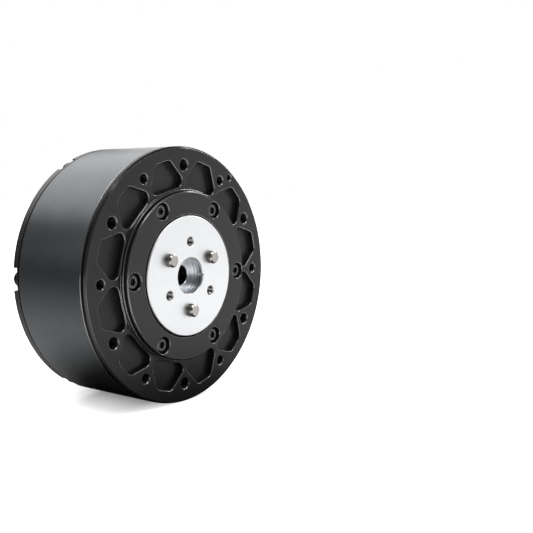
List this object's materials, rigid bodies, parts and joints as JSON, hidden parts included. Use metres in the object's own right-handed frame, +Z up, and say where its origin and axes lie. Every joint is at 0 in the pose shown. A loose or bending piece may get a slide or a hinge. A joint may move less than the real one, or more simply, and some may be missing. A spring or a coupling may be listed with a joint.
{
  "type": "robot joint actuator",
  "caption": "Round flat robot joint actuator with a bolt flange, a pinned output disc and drive electronics under a rear cap; an internal planetary stage gears the motor down.",
  "frame": {"origin": "centre of the front flange's mounting face, on the axis of rotation", "axes": "+Y runs along the axis of rotation from the front flange to the rear cap, so the output disc faces -Y; +Z is up and passes through one of the six larger flange holes; +X is to the right seen from the front"},
  "size_m": [0.08, 0.0465, 0.08],
  "materials": {
    "black_anodised": "satin black anodised aluminium",
    "case_grey": "fine bead-blasted dark grey anodised aluminium",
    "turned_aluminium": "bright fine-turned aluminium",
    "plain_aluminium": "plain machined aluminium",
    "ground_steel": "ground steel",
    "black_steel": "black oxide steel",
    "bearing_steel": "polished bearing steel",
    "electrical_steel": "stacked electrical steel sheet",
    "copper_wire": "enamelled copper wire",
    "magnet_coat": "nickel-plated magnet",
    "bronze": "sintered bronze",
    "board_laminate": "green circuit board laminate",
    "chip_black": "black moulded epoxy",
    "contact_grey": "grey moulded plastic",
    "gold_plate": "gold-plated contact",
    "socket_plastic": "natural moulded nylon"
  },
  "bodies": {
    "housing": {"front_cover": "black_anodised", "motor_case": "case_grey", "rear_cover": "black_anodised", "electronics_cap": "black_anodised", "bearing_retainer": "black_anodised", "retainer_screw_1": "black_steel", "retainer_screw_2": "black_steel", "retainer_screw_3": "black_steel", "retainer_screw_4": "black_steel", "retainer_screw_5": "black_steel", "retainer_screw_6": "black_steel", "case_screw_1": "black_steel", "case_screw_2": "black_steel", "case_screw_3": "black_steel", "case_screw_4": "black_steel", "case_screw_5": "black_steel", "case_screw_6": "black_steel", "cap_screw_1": "black_steel", "cap_screw_2": "black_steel", "cap_screw_3": "black_steel", "cap_screw_4": "black_steel", "gear_housing": "plain_aluminium", "ring_gear": "ground_steel", "output_bearing_outer": "bearing_steel", "stator_core": "electrical_steel", "stator_windings": "copper_wire", "rear_bearing_outer": "bearing_steel", "driver_board": "board_laminate", "encoder_chip": "chip_black", "contact_block": "contact_grey", "contact_pads": "gold_plate", "power_socket": "socket_plastic", "bus_socket_1": "socket_plastic", "bus_socket_2": "socket_plastic", "serial_socket": "socket_plastic"},
    "rotor": {"rotor_cup": "plain_aluminium", "rotor_magnets": "magnet_coat", "rotor_shaft": "ground_steel", "sun_gear": "ground_steel", "rear_bearing_inner": "bearing_steel", "encoder_magnet": "magnet_coat"},
    "output": {"output_flange": "turned_aluminium", "dowel_pin_1": "ground_steel", "dowel_pin_2": "ground_steel", "dowel_pin_3": "ground_steel", "output_bearing_inner": "bearing_steel", "planet_carrier": "plain_aluminium", "planet_pin_1": "ground_steel", "planet_pin_2": "ground_steel", "planet_pin_3": "ground_steel", "carrier_screw_1": "black_steel", "carrier_screw_2": "black_steel", "carrier_screw_3": "black_steel", "shaft_bush": "bronze"},
    "planet_1": {"planet_gear_1": "ground_steel"},
    "planet_2": {"planet_gear_2": "ground_steel"},
    "planet_3": {"planet_gear_3": "ground_steel"},
    "output_ball_set": {"output_balls": "bearing_steel"},
    "rear_ball_set": {"rear_balls": "bearing_steel"}
  },
  "joints": [
    {"name": "rotor_spin", "type": "hinge", "parent": "housing", "child": "rotor", "pos_m": [0, 0.02, 0], "axis": [0, 1, 0], "continuous": true},
    {"name": "output_spin", "type": "hinge", "parent": "housing", "child": "output", "pos_m": [0, 0, 0], "axis": [0, 1, 0], "continuous": true},
    {"name": "planet_1_spin", "type": "hinge", "parent": "output", "child": "planet_1", "pos_m": [0, 0.013, 0.0108], "axis": [0, 1, 0], "continuous": true},
    {"name": "planet_2_spin", "type": "hinge", "parent": "output", "child": "planet_2", "pos_m": [-0.00935, 0.013, -0.0054], "axis": [0, 1, 0], "continuous": true},
    {"name": "planet_3_spin", "type": "hinge", "parent": "output", "child": "planet_3", "pos_m": [0.00935, 0.013, -0.0054], "axis": [0, 1, 0], "continuous": true},
    {"name": "output_balls_spin", "type": "hinge", "parent": "housing", "child": "output_ball_set", "pos_m": [0, 0.0044, 0], "axis": [0, 1, 0], "continuous": true},
    {"name": "rear_balls_spin", "type": "hinge", "parent": "housing", "child": "rear_ball_set", "pos_m": [0, 0.028, 0], "axis": [0, 1, 0], "continuous": true}
  ],
  "couplings": [
    {"joint": "output_spin", "follows": "rotor_spin", "ratio": 0.16667},
    {"joint": "planet_1_spin", "follows": "rotor_spin", "ratio": -0.41667},
    {"joint": "planet_2_spin", "follows": "rotor_spin", "ratio": -0.41667},
    {"joint": "planet_3_spin", "follows": "rotor_spin", "ratio": -0.41667},
    {"joint": "output_balls_spin", "follows": "rotor_spin", "ratio": 0.075231},
    {"joint": "rear_balls_spin", "follows": "rotor_spin", "ratio": 0.41667}
  ]
}
